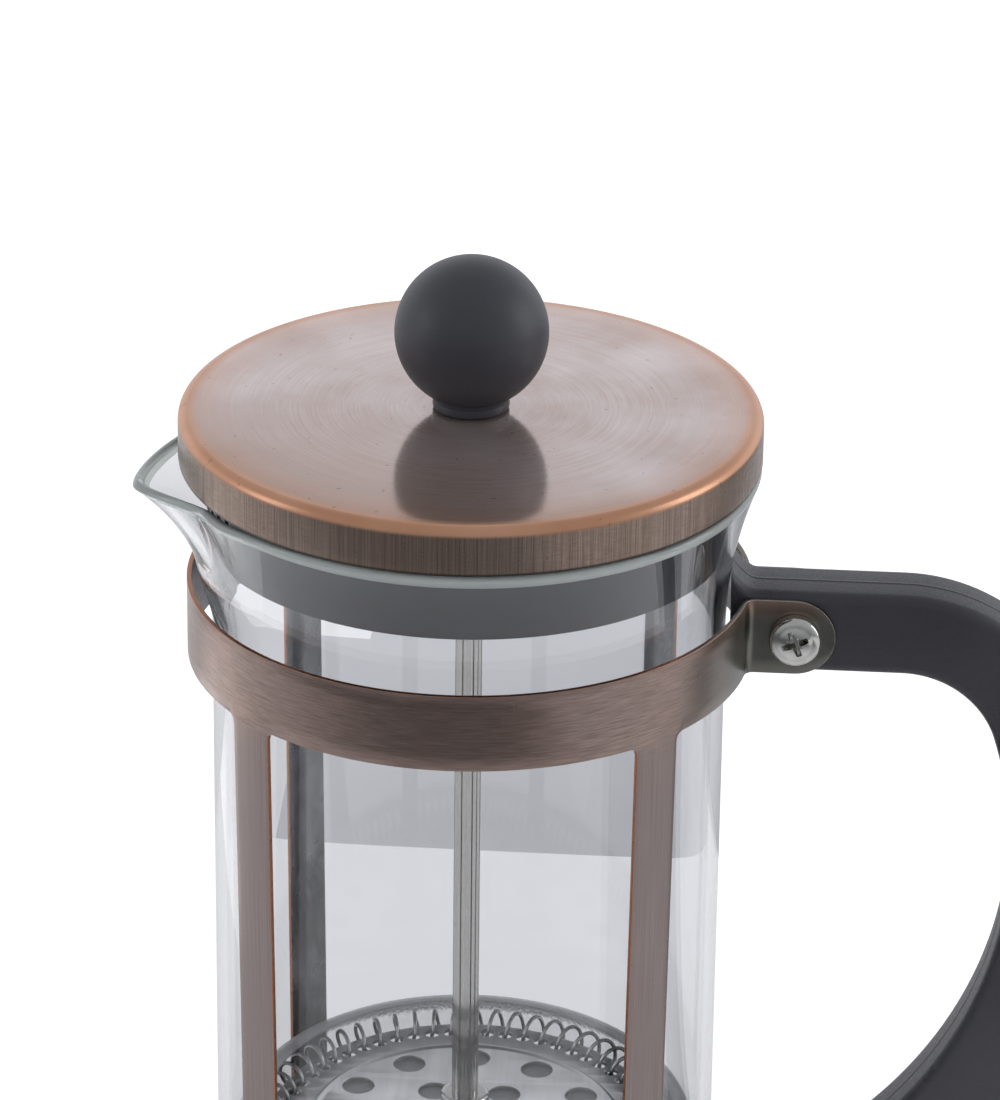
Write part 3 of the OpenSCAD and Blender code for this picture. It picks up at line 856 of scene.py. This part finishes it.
def turn_to_y(obj, x, y, z, sign):
    """Lays a piece that was made round Z on its side, so that its +Z points along sign * Y."""
    spin = Matrix.Rotation(math.radians(-90 * sign), 4, "X")
    obj.data.transform(Matrix.Translation((x, y, z)) @ spin)


def cross_cutter(depth, top_z, reach, half):
    """Tapered cross for a screw recess."""
    upper = []
    for quarter in range(4):
        c, s = spoke(90 * quarter)
        upper += [(u * c - v * s, u * s + v * c, top_z)
                  for u, v in ((reach, -half), (reach, half), (half * 1.25, half * 1.25))]
    lower = [(x * 0.42, y * 0.42, top_z - depth) for x, y, z in upper]
    n = len(upper)
    faces = [tuple(reversed(range(n, 2 * n))), tuple(range(n))]
    faces += [(i, n + i, n + (i + 1) % n, (i + 1) % n) for i in range(n)]
    mesh = bpy.data.meshes.new("cutter")
    mesh.from_pydata(upper + lower, [], faces)
    outward(mesh)
    return add_object("cutter", mesh)


def make_screw(name, node):
    low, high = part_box(node)
    z = (low.z + high.z) / 2
    head_r = (high.z - low.z) / 2
    head_h = 3 * MM
    shank = high.y - low.y - head_h
    r = 2.4 * MM
    dome = [(0, head_h)]
    dome += arc(0, head_h - 9.5 * MM, 9.5 * MM, 88, 70, 6)
    dome += arc(head_r - 1.1 * MM, head_h - 1.6 * MM, 1.1 * MM, 62, 0, 8)
    pitch = 0.8 * MM
    at = HANDLE_W + 2 * STRIP_T - 1 * MM
    outline = dome + [(head_r, 0.25 * MM), (head_r - 0.2 * MM, 0), (r + 0.1 * MM, 0),
                      (r, -0.1 * MM), (r, -at)]
    while at + pitch < shank - 0.5 * MM:
        outline += [(r - 0.35 * MM, -at - pitch / 2), (r, -at - pitch)]
        at += pitch
    outline += [(r - 0.45 * MM, -shank), (0, -shank)]
    obj = revolve(name, outline, "frame", SCREW_STEEL, steps=96, closed=False)
    for depth, reach, half, turn in ((2.2 * MM, 2.9 * MM, 0.56 * MM, 22),
                                     (0.75 * MM, 2.3 * MM, 0.13 * MM, 67)):
        recess = cross_cutter(depth, head_h + 0.3 * MM, reach, half)
        recess.data.transform(Matrix.Rotation(math.radians(turn), 4, "Z"))
        cut(obj, recess)
    sharpen(obj, 30)
    turn_to_y(obj, SCREW_X, low.y + head_h, z, -1)
    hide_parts(node)


def make_nut(name, node):
    """A hexagon nut with rounded corners and a chamfered bore."""
    low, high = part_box(node)
    t = high.y - low.y
    flat = (high.z - low.z) / 2 - 0.02 * MM
    bore = 2.4 * MM
    steps = 144
    columns = []
    for k in range(steps):
        a = k * 360 / steps
        edge = flat / spoke((a + 30) % 60 - 30)[0]
        drop = max(0.0, edge - flat * 0.99) * 0.6
        shape = [(bore, 0.5 * MM), (bore + 0.5 * MM, 0.0), (flat * 0.97, 0.0), (edge, drop),
                 (edge, t - drop), (flat * 0.97, t), (bore + 0.5 * MM, t), (bore, t - 0.5 * MM)]
        c, s = spoke(a)
        columns.append([(r * c, r * s, h) for r, h in shape])
    rows = list(zip(*columns))
    faces = ring_faces(len(rows), steps, close_rows=True)
    obj = new_mesh(name, sum(rows, ()), faces, "frame", SCREW_STEEL)
    outward(obj.data)
    sharpen(obj, 28)
    turn_to_y(obj, SCREW_X, low.y, (low.z + high.z) / 2, 1)
    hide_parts(node)


# -------- lid

def make_lid():
    edge = 1.9 * MM
    hole = 3.2 * MM
    z = LID_SKIRT_Z + 0.02 * MM
    t = LID_T
    inner = LID_R - t
    outline = [(hole, LID_TOP - 0.15 * MM), (hole + 0.15 * MM, LID_TOP)]
    outline += [(hole + (LID_R - edge - hole) * k / 10, LID_TOP) for k in range(1, 10)]
    outline += arc(LID_R - edge, LID_TOP - edge, edge, 90, 0, 14)
    outline += [(LID_R, LID_TOP - 4 * MM), (LID_R, LID_TOP - 6.4 * MM)]
    outline += arc(LID_R - t / 2, z + t / 2, t / 2, 0, -180, 10)
    outline += [(inner, LID_TOP - 5 * MM)]
    outline += arc(inner - (edge - t), LID_TOP - t - (edge - t), edge - t, 0, 90, 8)
    outline += [(hole, LID_TOP - t)]
    obj = revolve("lid_cap_shell", outline, "lid", LID_COPPER, steps=256, sharp=40)
    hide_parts("lid_cap")
    finish_cad("lid_insert", INSERT_GREY)


def finish_cad(name, material):
    """Gives a CAD node that stays in view its material and smooth round walls."""
    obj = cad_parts[name]
    obj.data.materials.clear()
    obj.data.materials.append(material)
    obj.data.shade_smooth()
    sharpen(obj, 30)


# -------- knob and rod

def make_knob():
    low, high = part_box("knob")
    ball_r = 13.3 * MM
    centre = high.z - ball_r
    neck_r = 6.65 * MM
    bore = 4 * MM
    foot = low.z
    join = math.degrees(math.asin(neck_r * 1.04 / ball_r))
    outline = [(bore, foot + 0.2 * MM), (bore + 0.2 * MM, foot)]
    outline += arc(neck_r - 0.35 * MM, foot + 0.35 * MM, 0.35 * MM, -90, 0, 4)
    outline += [(neck_r, foot + 1.1 * MM), (neck_r * 0.99, foot + 1.5 * MM)]
    outline += arc(0, centre, ball_r, -90 + join, 89.6, 70) + [(0, high.z)]
    well = top("knob_insert")
    outline = [(0, well), (bore, well)] + outline
    obj = revolve("ball_knob", outline, "plunger", KNOB_BLACK, steps=160, closed=False, sharp=30)
    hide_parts("knob")
    finish_cad("knob_insert", BRASS)


def make_rod():
    low, high = bottom("plunger_rod"), top("plunger_rod")
    tip = 0.6 * MM
    pitch = 0.8 * MM
    outline = [(0, low), (ROD_R - tip, low)]
    at = low + tip
    while at < low + 7 * MM:
        outline += [(ROD_R, at), (ROD_R - 0.4 * MM, at + pitch / 2)]
        at += pitch
    outline += [(ROD_R, at)]
    outline += [(ROD_R, at + (high - 11 * MM - at) * k / 12) for k in range(1, 13)]
    at = high - 11 * MM
    while at < high - 1.2 * MM:
        outline += [(ROD_R - 0.4 * MM, at + pitch / 2), (ROD_R, at + pitch)]
        at += pitch
    outline += [(ROD_R - tip, high), (0, high)]
    obj = revolve("steel_rod", outline, "plunger", ROD_STEEL, steps=64, closed=False, sharp=30)
    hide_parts("plunger_rod")
    z0, z1 = bottom("rod_collar"), top("rod_collar")
    r = radius("rod_collar")
    outline = rounded([(ROD_R, z0), (r, z0), (r, z1), (ROD_R, z1)], [0, 0.3 * MM, 0.9 * MM, 0])
    obj = revolve("shoulder_collar", outline, "plunger", ROD_STEEL, steps=64)
    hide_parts("rod_collar")


# -------- filter

SPRING_TURNS = 60
SPIRAL_LOW, SPIRAL_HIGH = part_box("spiral_plate")
SPIRAL_R = radius("spiral_plate")
SPIRAL_Z = SPIRAL_LOW.z
SPIRAL_TOP = SPIRAL_HIGH.z
MESH_BOW = 5.9 * MM
COIL_R = radius("mesh_screen") - MESH_BOW
COIL_Z = (SPIRAL_Z + SPIRAL_TOP) / 2


def plate_from_outlines(name, outlines, z0, z1, body, edge=0.12 * MM):
    """A flat steel plate: the first outline is the outside, the rest are holes."""
    curve = bpy.data.curves.new(name, "CURVE")
    curve.dimensions = "2D"
    curve.fill_mode = "BOTH"
    curve.extrude = (z1 - z0) / 2 - edge
    curve.bevel_depth = edge
    curve.bevel_resolution = 2
    curve.offset = -edge
    for points in outlines:
        spline = curve.splines.new("POLY")
        spline.points.add(len(points) - 1)
        for p, (x, y) in zip(spline.points, points):
            p.co = (x, y, 0, 1)
        spline.use_cyclic_u = True
    temp = add_object(name, curve)
    mesh = evaluated_mesh(temp)
    bpy.data.objects.remove(temp)
    bpy.data.curves.remove(curve)
    mesh.transform(Matrix.Translation((0, 0, (z0 + z1) / 2)))
    mesh.materials.clear()
    mesh.materials.append(PLATE_STEEL)
    outward(mesh, merge=0.005 * MM)
    mesh.shade_smooth()
    obj = add_object(name, mesh)
    sharpen(obj, 30)
    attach(obj, body)
    return obj


def circle(r, n, cx=0.0, cy=0.0):
    return [(cx + r * c, cy + r * s) for c, s in (spoke(360 * i / n) for i in range(n))]


def make_spiral_plate():
    """The plate with its three rings of holes, and the bead pressed into it."""
    outlines = [circle(SPIRAL_R, 208), circle(ROD_R + 0.02 * MM, 32)]

    def hole_ring(ring_r, count, first, hole_r, steps):
        for i in range(count):
            c, s = spoke((i + first) * 360 / count)
            outlines.append(circle(hole_r, steps, ring_r * c, ring_r * s))

    hole_ring(SPIRAL_R - 3.1 * MM, SPRING_TURNS, 0.5, 1.35 * MM, 20)
    hole_ring(24 * MM, 12, 0, 3 * MM, 32)
    hole_ring(13 * MM, 6, 0, 3 * MM, 32)
    obj = plate_from_outlines("spring_plate", outlines, SPIRAL_Z, SPIRAL_TOP, "plunger")
    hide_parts("spiral_plate")
    bead_r, bead = 28.4 * MM, 0.42 * MM
    outline = [(bead_r - 2 * bead, SPIRAL_TOP - 0.02 * MM)]
    outline += [(bead_r + 2 * bead * t, SPIRAL_TOP + bead * spoke(90 * t)[0] ** 2)
                for t in np.linspace(-0.85, 0.85, 9)]
    outline += [(bead_r + 2 * bead, SPIRAL_TOP - 0.02 * MM), (bead_r, SPIRAL_TOP - 0.1 * MM)]
    obj = revolve("pressed_bead", outline, "plunger", PLATE_STEEL, steps=160)


def make_spring():
    """The coil: each turn goes down through a hole of the plate and round its edge."""
    turn_r = 3.05 * MM
    wire_r = 0.38 * MM
    per_turn = 28
    total = SPRING_TURNS * per_turn
    centres, path = [], []
    for i in range(total):
        turn = i / per_turn
        x, y = spoke((turn + 0.5) * 360 / SPRING_TURNS)
        c, s = spoke(turn * 360 + 180)
        r = COIL_R + turn_r * c
        centres.append(Vector((COIL_R * x, COIL_R * y, COIL_Z)))
        path.append(Vector((r * x, r * y, COIL_Z + turn_r * s)))
    section = circle(wire_r, 8)
    verts = []
    for i, (p, centre) in enumerate(zip(path, centres)):
        ahead = (path[(i + 1) % total] - path[i - 1]).normalized()
        side = ahead.cross((p - centre).normalized()).normalized()
        up = side.cross(ahead)
        verts += [p + side * u + up * v for u, v in section]
    faces = ring_faces(total, len(section), close_rows=True)
    obj = new_mesh("coil_spring", verts, faces, "plunger", WIRE_STEEL)
    outward(obj.data)
    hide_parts("filter_spring")


def make_mesh_screen():
    """A trough under the spring, a round wall with fine pleats and a rolled-in lip."""
    t = 0.4 * MM
    sag = 4.05 * MM
    flat_z = top("cross_plate")

    def trough(inset):
        """The profile in plan radius and height, set in from the outer face by inset."""
        deep, wide = sag - inset, MESH_BOW - inset
        start = 180 + math.degrees(math.asin((COIL_Z - flat_z - inset) / deep))
        pts = []
        for a in np.linspace(start, 455, 44):
            c, s = spoke(a)
            pts.append((COIL_R + wide * c, COIL_Z + (deep if a < 360 else wide) * s))
        return pts

    under, over = trough(0.0), trough(t)
    flat = [ROD_R + (under[0][0] - ROD_R) * k / 10 for k in range(10)]
    outline = [(r, flat_z) for r in flat] + under + over[::-1]
    outline += [(r, flat_z + t) for r in reversed(flat)]
    pleats = 150

    def pleat(grid, angle):
        r = np.hypot(grid[..., 0], grid[..., 1])
        part = np.clip((r - COIL_R) / MESH_BOW, 0, 1)
        wave = 0.14 * MM * (np.cos(pleats * angle) - 1) * part ** 2
        scale = (r + wave) / np.maximum(r, 1e-6)
        return np.stack([grid[..., 0] * scale, grid[..., 1] * scale, grid[..., 2]], -1)

    obj = revolve("wire_screen", outline, "plunger", MESH_STEEL, steps=900, sharp=50, warp=pleat)
    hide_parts("mesh_screen")


def make_cross_plate():
    """The plate with its six spokes, and the nut below it."""
    r = radius("cross_plate")
    outlines = [circle(r, 160), circle(ROD_R + 0.02 * MM, 32)]
    half = 3.5 * MM
    inner, outer = 9.3 * MM, r - 5 * MM
    a0, a1 = (30 - math.degrees(math.asin(half / reach)) for reach in (inner, outer))
    for i in range(6):
        base = (i + 0.5) * 60
        outlines.append(arc(0, 0, outer, base - a1, base + a1, 14)
                        + arc(0, 0, inner, base + a0, base - a0, 5))
    low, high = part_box("cross_plate")
    obj = plate_from_outlines("spoked_plate", outlines, low.z, high.z, "plunger")
    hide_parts("cross_plate")
    z0, z1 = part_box("cross_plate_nut")[0].z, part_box("cross_plate_nut")[1].z
    r = radius("cross_plate_nut")
    outline = rounded([(ROD_R, z0), (r, z0), (r, z1), (ROD_R, z1)],
                      [0.4 * MM, 0.9 * MM, 0.2 * MM, 0])
    obj = revolve("plate_nut", outline, "plunger", ROD_STEEL, steps=64)
    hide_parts("cross_plate_nut")


# -------- stage, lights, camera

def stage_sheet(name, low, high, z, tone, glow, shows=("diffuse", "glossy", "transmission"),
                fade=None):
    """A level sheet of the studio set. shows lists the kinds of ray that meet it, and fade
    gives two Y values between which it darkens, as painted shade."""
    mesh = bpy.data.meshes.new(name)
    mesh.from_pydata([(low[0], low[1], z), (high[0], low[1], z), (high[0], high[1], z),
                      (low[0], high[1], z)], [], [(0, 1, 2, 3)])
    n = new_material(name)
    light = (tone, tone, tone * 1.01)
    cloud = n.mix(n.noise(n.place(), 6.0, 2.0, 0.5), tuple(c * 0.98 for c in light) + (1,),
                  light + (1,))
    # Painted shade: across the fade span the sheet's colour and glow go dark.
    if fade:
        level = n.ranged(n.split(n.place())[1], *fade)
        cloud = n.mix(level, (0.15, 0.15, 0.15, 1), cloud)
        glow = n.times(level, glow)
    n.set(Base_Color=cloud, Roughness=0.9, Emission_Color=(1, 1, 1, 1), Emission_Strength=glow)
    mesh.materials.append(n.owner)
    obj = add_object(name, mesh)
    obj.visible_shadow = False
    for kind in ("camera", "diffuse", "glossy", "transmission"):
        setattr(obj, "visible_" + kind, kind in shows)


def make_stage():
    """A white floor, and the table and cards that the glass and the metal pick up. The floor
    is seen directly only, so that it can be white without washing out the object."""
    under = -0.0002
    stage_sheet("floor", (-6, -6), (6, 6), 0, 0.83, 0.62, shows=("camera",))
    # The table darkens towards the front: painted shade.
    stage_sheet("table", (-0.7, -0.6), (0.7, 0.158), under, 0.79, 0.34, fade=(-0.29, -0.08))
    stage_sheet("card_left", (-0.5, 0.158), (-0.062, 0.26), under, 0.6, 0.36)
    stage_sheet("card_spout", (-0.5, 0.26), (-0.045, 0.75), under, 0.6, 0.56)
    stage_sheet("card_right", (0.2, -0.5), (0.8, -0.15), under * 0.5, 0.65, 0.4)
    stage_sheet("card_dark", (0.3, 0.13), (0.9, 0.6), under * 0.5, 0.2, 0, shows=("glossy",))
    stage_sheet("card_side", (-0.7, 0.02), (-0.15, 0.157), under * 0.5, 0.7, 0.95)
    stage_sheet("table_through_glass", (-3, -3), (3, 0.158), under * 0.4, 0.79, 0.34,
                shows=("transmission",))


def area_light(name, place, target, size_x, size_y, radiance):
    """A soft box of the given radiance."""
    light = bpy.data.lights.new(name, "AREA")
    light.shape = "RECTANGLE"
    light.size = size_x
    light.size_y = size_y
    light.energy = radiance * math.pi * size_x * size_y
    obj = add_object(name, light)
    obj.location = place
    direction = Vector(target) - Vector(place)
    obj.rotation_euler = direction.to_track_quat("-Z", "Y").to_euler()


def make_world():
    """A grey studio: brighter above, dim below, and brighter behind than in front."""
    world = bpy.data.worlds.new("studio")
    n = Nodes(world)
    x, y, z = n.split(n.add("ShaderNodeTexCoord").outputs["Generated"])
    back = n.ranged(z, 0.37, 0.44, 1.06, 0.72)
    zenith = n.ranged(z, 0.5, 0.95, back, 0.52)
    above = n.ranged(y, -0.6, 0.7, 0.5, zenith)
    sides = n.times(n.math("ABSOLUTE", x), 0.42)
    wall = n.ranged(z, -0.465, -0.43, 0.485, 0.60)
    below = n.math("ADD", sides, n.ranged(y, 0, 0.9, 0.13, wall))
    background = n.tree.nodes["Background"]
    n.feed(background.inputs["Strength"], n.ranged(z, -0.22, 0.12, below, above))
    n.feed(background.inputs["Color"], (0.985, 0.995, 1.05, 1))
    bpy.context.scene.world = world


def make_lights():
    make_world()
    area_light("right_box", (0.95, 0.1, 0.42), (0, 0, 0.12), 0.35, 0.6, 2.2)
    area_light("left_box", (-0.95, -0.2, 0.42), (0, 0, 0.12), 0.28, 0.6, 1.5)


# Camera: fitted to the pictured view; the handle points a little towards it
CAMERA_AZIMUTH = 3.8
CAMERA_ELEVATION = 25.02
CAMERA_ROLL = 0.67
CAMERA_DISTANCE = 0.9853
CAMERA_LENS = 186.95127


def make_camera():
    """Sees the middle of the lid's top a little left of the picture's centre and above it."""
    a, e, roll = (math.radians(v) for v in (CAMERA_AZIMUTH, CAMERA_ELEVATION, CAMERA_ROLL))
    look = Vector((-math.sin(a) * math.cos(e), math.cos(a) * math.cos(e), -math.sin(e)))
    flat_right = Vector((math.cos(a), math.sin(a), 0))
    flat_up = flat_right.cross(look)
    right = math.cos(roll) * flat_right + math.sin(roll) * flat_up
    up = -math.sin(roll) * flat_right + math.cos(roll) * flat_up
    target = Vector((0, 0, LID_TOP))
    off_x, off_y = -0.00505917, 0.0251558
    place = target - CAMERA_DISTANCE * (look + right * off_x + up * off_y)
    camera = bpy.data.cameras.new("camera")
    camera.sensor_width = 36
    camera.lens = CAMERA_LENS
    camera.clip_start = 0.01
    camera.clip_end = 50
    obj = add_object("camera", camera)
    turn = Matrix((right, up, -look)).transposed()
    obj.matrix_world = Matrix.Translation(place) @ turn.to_4x4()
    bpy.context.scene.camera = obj


make_camera()
make_stage()
make_lights()
make_beaker()
make_cage()
make_dish()
make_seat()
make_pad()
make_handle()
make_screw("upper_clamp_screw", "upper_screw")
make_screw("lower_clamp_screw", "lower_screw")
make_nut("upper_clamp_nut", "upper_nut")
make_nut("lower_clamp_nut", "lower_nut")
make_lid()
make_knob()
make_rod()
make_spiral_plate()
make_spring()
make_mesh_screen()
make_cross_plate()

bpy.context.scene.view_settings.view_transform = "Standard"
